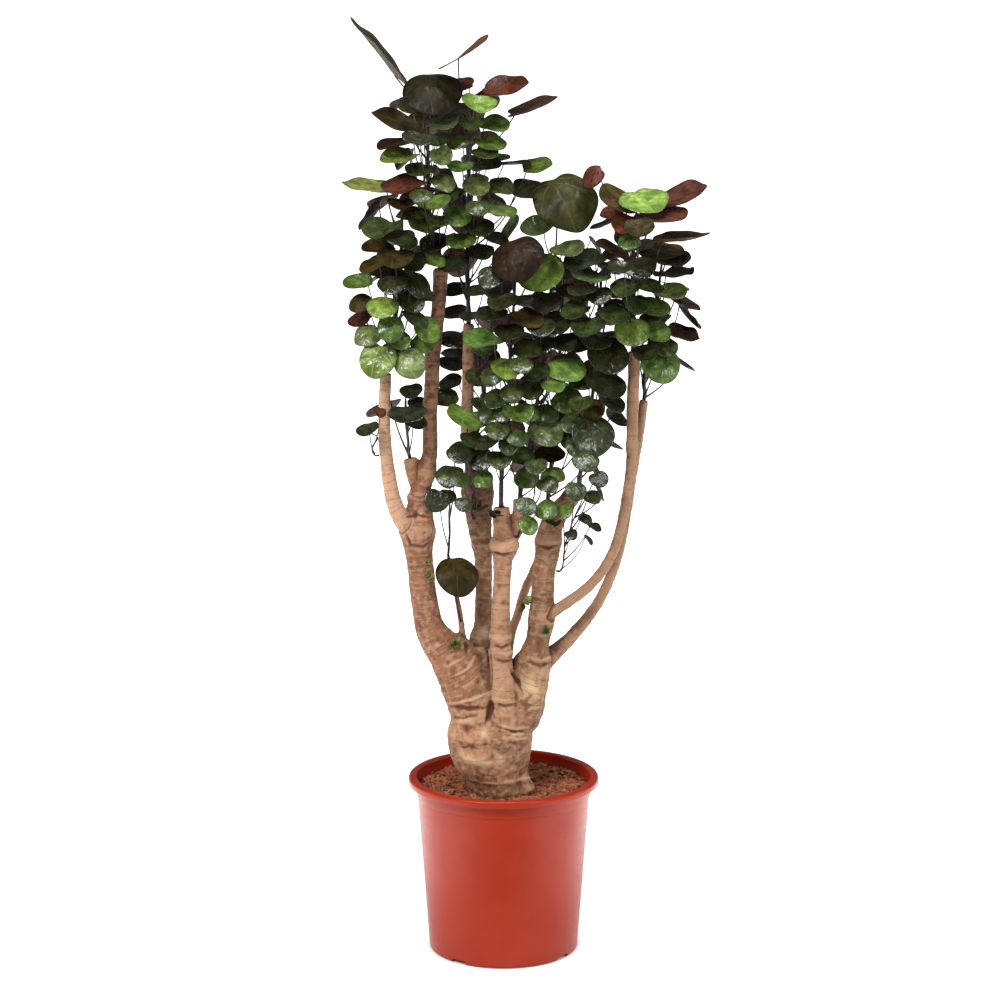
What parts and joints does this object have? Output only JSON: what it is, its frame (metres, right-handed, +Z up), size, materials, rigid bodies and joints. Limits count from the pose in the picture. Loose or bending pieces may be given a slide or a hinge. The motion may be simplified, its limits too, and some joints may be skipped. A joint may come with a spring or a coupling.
{
  "type": "potted shield aralia",
  "caption": "Tall shield aralia with a stout forked trunk, woody branches and round leaves on long stalks, standing in soil in a plastic nursery pot.",
  "frame": {"origin": "middle of the pot's base, on the surface the pot stands on", "axes": "+Z up, -Y towards the viewer of the picture, +X to the viewer's right"},
  "size_m": [0.4349, 0.261, 1.1655],
  "materials": {
    "pot": "satin terracotta-coloured plastic",
    "soil": "coarse moist peat and coir",
    "bark": "ringed beige bark",
    "leaves": "glossy leathery green"
  },
  "bodies": {
    "root": {"pot": "pot", "soil": "soil", "trunk": "bark", "leafy_stem_left": "leaves", "leafy_stem_tall": "leaves", "leafy_stem_middle": "leaves", "leafy_stem_front": "leaves", "leafy_stem_centre": "leaves", "leafy_stem_inner_right": "leaves", "leafy_stem_right": "leaves", "leafy_stem_right_back": "leaves", "leafy_stem_back": "leaves", "leafy_spur_middle": "leaves", "leafy_spur_left": "leaves", "leafy_twig_low": "leaves"}
  },
  "joints": []
}
